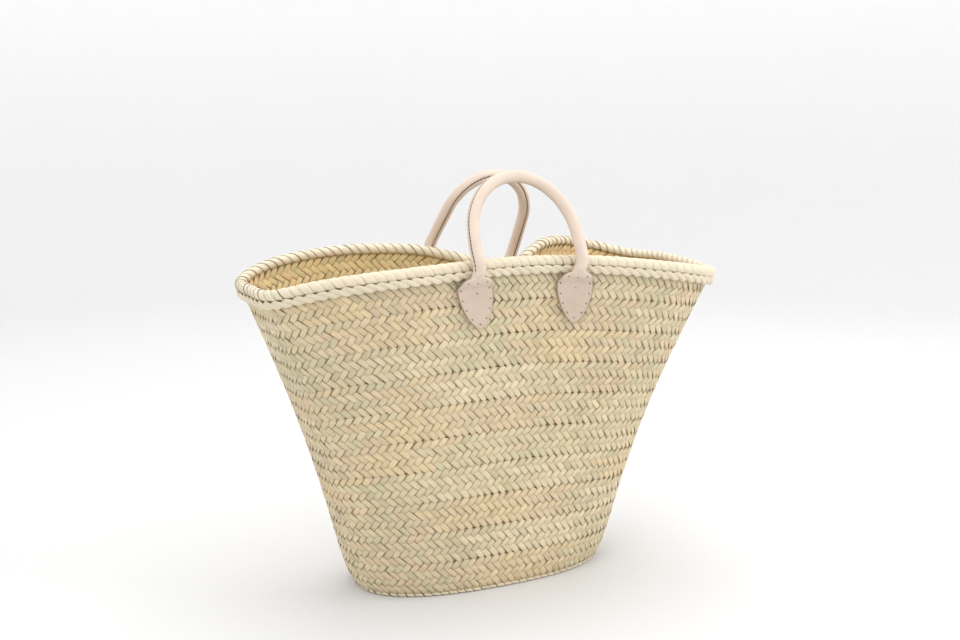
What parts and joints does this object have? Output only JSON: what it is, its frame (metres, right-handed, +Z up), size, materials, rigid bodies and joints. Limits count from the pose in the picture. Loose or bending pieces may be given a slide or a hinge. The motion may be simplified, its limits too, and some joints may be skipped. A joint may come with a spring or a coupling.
{
  "type": "woven market basket",
  "caption": "Open market basket of plaited palm leaf with an oval base, a flared pinched mouth, a wrapped rim and rolled leather handles sewn on by tabs.",
  "frame": {"origin": "under the middle of the base, on the surface that the basket stands on", "axes": "+Z up, +X along the mouth's long direction, -Y to the front, where the handle that leans back is sewn on"},
  "size_m": [0.5156, 0.2353, 0.4439],
  "materials": {
    "palm_plait": "dry plaited palm leaf, cream to pale green and tan, slightly glossy along each strip",
    "palm_wrap": "smooth folded palm leaf, cream",
    "palm_core": "bundle of dry palm stems",
    "palm_cord": "twisted palm-leaf sewing cord",
    "leather": "natural vegetable-tanned leather, pale pink-beige, satin",
    "rope": "laid fibre rope",
    "thread": "waxed sewing thread"
  },
  "bodies": {
    "basket": {"wall_course_1": "palm_plait", "wall_course_2": "palm_plait", "wall_course_3": "palm_plait", "wall_course_4": "palm_plait", "wall_course_5": "palm_plait", "wall_course_6": "palm_plait", "wall_course_7": "palm_plait", "wall_course_8": "palm_plait", "wall_course_9": "palm_plait", "wall_course_10": "palm_plait", "base_centre_plait": "palm_plait", "base_outer_plait": "palm_plait", "base_welt": "palm_plait", "rim_leaf_wrap": "palm_wrap", "rim_twisted_cord": "palm_wrap", "rim_core_stems": "palm_core", "sewing_cord_1": "palm_cord", "sewing_cord_2": "palm_cord", "sewing_cord_3": "palm_cord", "sewing_cord_4": "palm_cord", "sewing_cord_5": "palm_cord", "sewing_cord_6": "palm_cord", "sewing_cord_7": "palm_cord", "sewing_cord_8": "palm_cord", "sewing_cord_9": "palm_cord", "front_left_tab": "leather", "front_left_tab_thread": "thread", "front_right_tab": "leather", "front_right_tab_thread": "thread", "back_left_tab": "leather", "back_left_tab_thread": "thread", "back_right_tab": "leather", "back_right_tab_thread": "thread"},
    "front_handle": {"front_handle_leather": "leather", "front_handle_rope": "rope", "front_handle_thread": "thread"},
    "back_handle": {"back_handle_leather": "leather", "back_handle_rope": "rope", "back_handle_thread": "thread"}
  },
  "joints": [
    {"name": "front_handle_fold", "type": "hinge", "parent": "basket", "child": "front_handle", "pos_m": [0.00223, -0.11239, 0.32878], "axis": [0.9998, -0.0162, -0.0129], "range_deg": [0, 110]},
    {"name": "back_handle_fold", "type": "hinge", "parent": "basket", "child": "back_handle", "pos_m": [0.01678, 0.05582, 0.32196], "axis": [-0.987, 0.02, 0.1596], "range_deg": [0, 110]}
  ]
}
